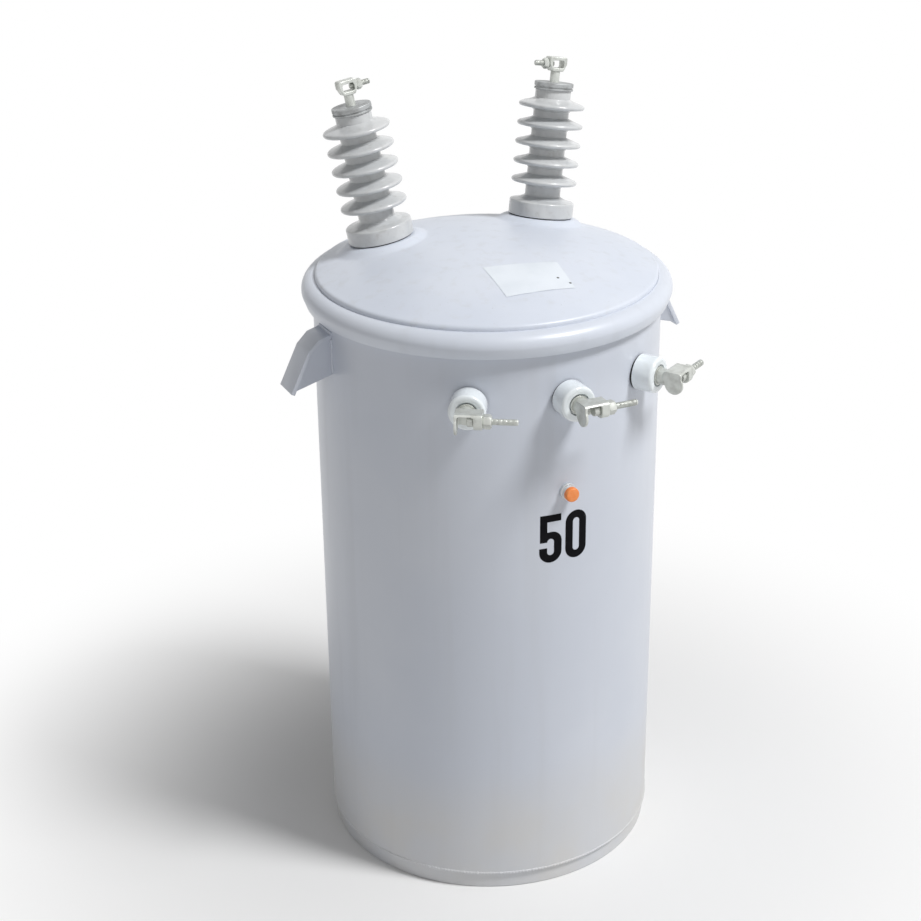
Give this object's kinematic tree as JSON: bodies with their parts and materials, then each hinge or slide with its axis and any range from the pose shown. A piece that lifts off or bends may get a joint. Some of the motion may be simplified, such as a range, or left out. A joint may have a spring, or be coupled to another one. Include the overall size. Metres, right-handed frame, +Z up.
{
  "type": "single-phase transformer",
  "caption": "Oil-filled pole-mounted distribution transformer: round steel tank with clamped domed cover, tilted shedded high voltage bushings, low voltage bushings on the wall",
  "frame": {"origin": "centre of the ring that the tank stands on, at floor level", "axes": "+Z up along the tank's axis; the low voltage bushings and the relief valve face -Y, the hanger brackets face +Y, the lifting lugs point to -X and +X"},
  "size_m": [0.636, 0.646, 1.1821],
  "materials": {
    "tank_paint": "pale grey enamel, slightly glossy",
    "cover_paint": "pale grey enamel, weathered dull",
    "gasket_rubber": "matt black",
    "zinc_plated_steel": "zinc plated, dull",
    "hv_porcelain": "pale grey glazed porcelain",
    "lv_porcelain": "white glazed porcelain",
    "hv_cap_metal": "cast, dull",
    "tinned_bronze": "tin plated, satin",
    "valve_metal": "machined, dull",
    "valve_cap": "faded orange moulded plastic",
    "digit_film": "black adhesive film",
    "label_film": "blank white adhesive film",
    "core_steel": "oil-wetted, dull"
  },
  "bodies": {
    "root": {"tank_shell": "tank_paint", "tank_bottom": "tank_paint", "bottom_weld_bead": "tank_paint", "cover_gasket": "gasket_rubber", "cover": "cover_paint", "clamp_band": "tank_paint", "clamp_band_bolt": "zinc_plated_steel", "relief_valve_body": "valve_metal", "relief_valve_cap": "valve_cap", "earthing_boss": "tank_paint", "core_and_coils": "core_steel", "hanger_bracket_upper": "tank_paint", "hanger_bracket_lower": "tank_paint", "hv_gasket_left": "gasket_rubber", "hv_insulator_left": "hv_porcelain", "hv_cap_left": "hv_cap_metal", "hv_stem_left": "tinned_bronze", "hv_eye_clamp_left": "tinned_bronze", "hv_clamp_bolt_left": "tinned_bronze", "lifting_lug_left": "tank_paint", "hv_gasket_right": "gasket_rubber", "hv_insulator_right": "hv_porcelain", "hv_cap_right": "hv_cap_metal", "hv_stem_right": "tinned_bronze", "hv_eye_clamp_right": "tinned_bronze", "hv_clamp_bolt_right": "tinned_bronze", "lifting_lug_right": "tank_paint", "lv_gasket_left": "gasket_rubber", "lv_insulator_left": "lv_porcelain", "lv_stud_left": "tinned_bronze", "lv_clamp_left": "tinned_bronze", "lv_clamp_bolt_left": "tinned_bronze", "lv_gasket_middle": "gasket_rubber", "lv_insulator_middle": "lv_porcelain", "lv_stud_middle": "tinned_bronze", "lv_clamp_middle": "tinned_bronze", "lv_clamp_bolt_middle": "tinned_bronze", "lv_gasket_right": "gasket_rubber", "lv_insulator_right": "lv_porcelain", "lv_stud_right": "tinned_bronze", "lv_clamp_right": "tinned_bronze", "lv_clamp_bolt_right": "tinned_bronze"}
  },
  "joints": []
}
